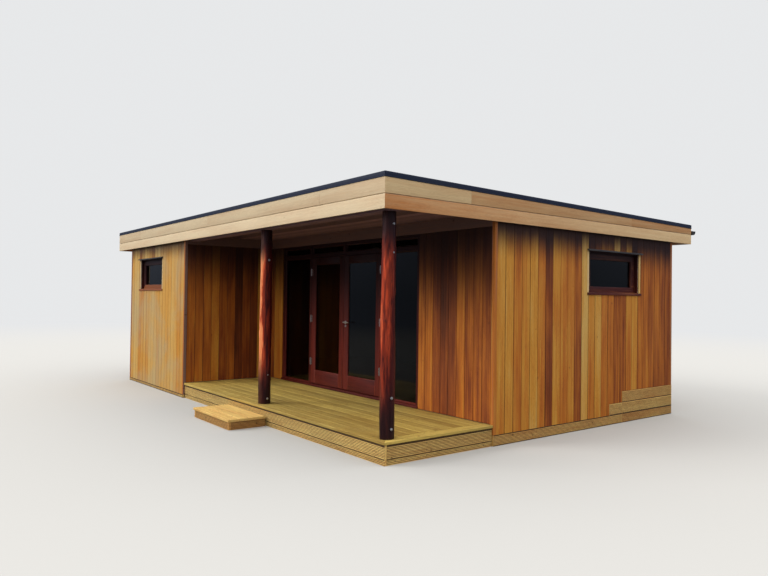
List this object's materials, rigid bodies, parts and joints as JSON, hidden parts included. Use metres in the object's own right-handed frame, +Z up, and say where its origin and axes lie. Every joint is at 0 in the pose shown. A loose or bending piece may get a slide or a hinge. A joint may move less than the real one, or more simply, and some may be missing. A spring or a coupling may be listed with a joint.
{
  "type": "garden office pod",
  "caption": "Flat-roofed cedar-clad garden room with a front bay, a decked entrance recess under the roof on log posts, and glazed double doors.",
  "frame": {"origin": "centre of the footprint's bounding box, on the ground", "axes": "+X to the right along the front, +Y from the front to the back, +Z up"},
  "size_m": [8.48, 6.27, 2.8],
  "materials": {
    "cedar_cladding": "oiled red cedar boards, strongly mixed in tone",
    "cedar_trim": "pale planed cedar",
    "fascia": "pale planed cedar boards",
    "soffit": "planed cedar boards in shade",
    "decking": "treated softwood, yellow-green",
    "framing": "sawn softwood and board",
    "lining": "painted inner face",
    "post_log": "peeled log with mahogany stain",
    "joinery": "mahogany-stained joinery, satin",
    "glass": "clear double glazing, dark room behind",
    "roof_rubber": "black sheet rubber",
    "gutter_black": "black gutter",
    "flashing": "dark folded sheet",
    "steel": "satin stainless steel"
  },
  "bodies": {
    "building": {"base_frame": "framing", "floor": "framing", "bay_front_wall": "lining", "return_wall": "lining", "recess_wall": "lining", "right_wall": "lining", "back_wall": "lining", "left_wall": "lining", "bay_front_cladding": "cedar_cladding", "return_cladding": "cedar_cladding", "recess_cladding": "cedar_cladding", "right_cladding": "cedar_cladding", "back_cladding": "cedar_cladding", "left_cladding": "cedar_cladding", "cedar_trims": "cedar_trim", "plinth_boards": "decking", "deck_frame": "framing", "deck_boards": "decking", "deck_risers": "decking", "entry_step": "decking", "porch_posts": "post_log", "roof_beam": "soffit", "soffit_boards": "soffit", "roof_panel": "lining", "roof_membrane": "roof_rubber", "roof_edge_trim": "roof_rubber", "front_fascia": "fascia", "side_fascias": "fascia", "back_fascia": "fascia", "gutter": "gutter_black", "screen_posts": "joinery", "screen_rails": "joinery", "screen_beads": "joinery", "screen_glass": "glass", "window_frames": "joinery", "window_glass": "glass", "window_flashings": "flashing", "frame_hinges": "steel"},
    "left_door": {"left_door_leaf": "joinery", "left_door_glass": "glass", "left_door_hinges": "steel"},
    "right_door": {"right_door_leaf": "joinery", "right_door_glass": "glass", "right_door_hinges": "steel", "door_handle": "steel"}
  },
  "joints": [
    {"name": "left_door_hinge", "type": "hinge", "parent": "building", "child": "left_door", "pos_m": [0.394, -1.139, 0.27], "axis": [0, 0, -1], "range_deg": [0, 95]},
    {"name": "right_door_hinge", "type": "hinge", "parent": "building", "child": "right_door", "pos_m": [2.146, -1.139, 0.27], "axis": [0, 0, 1], "range_deg": [0, 95]}
  ]
}
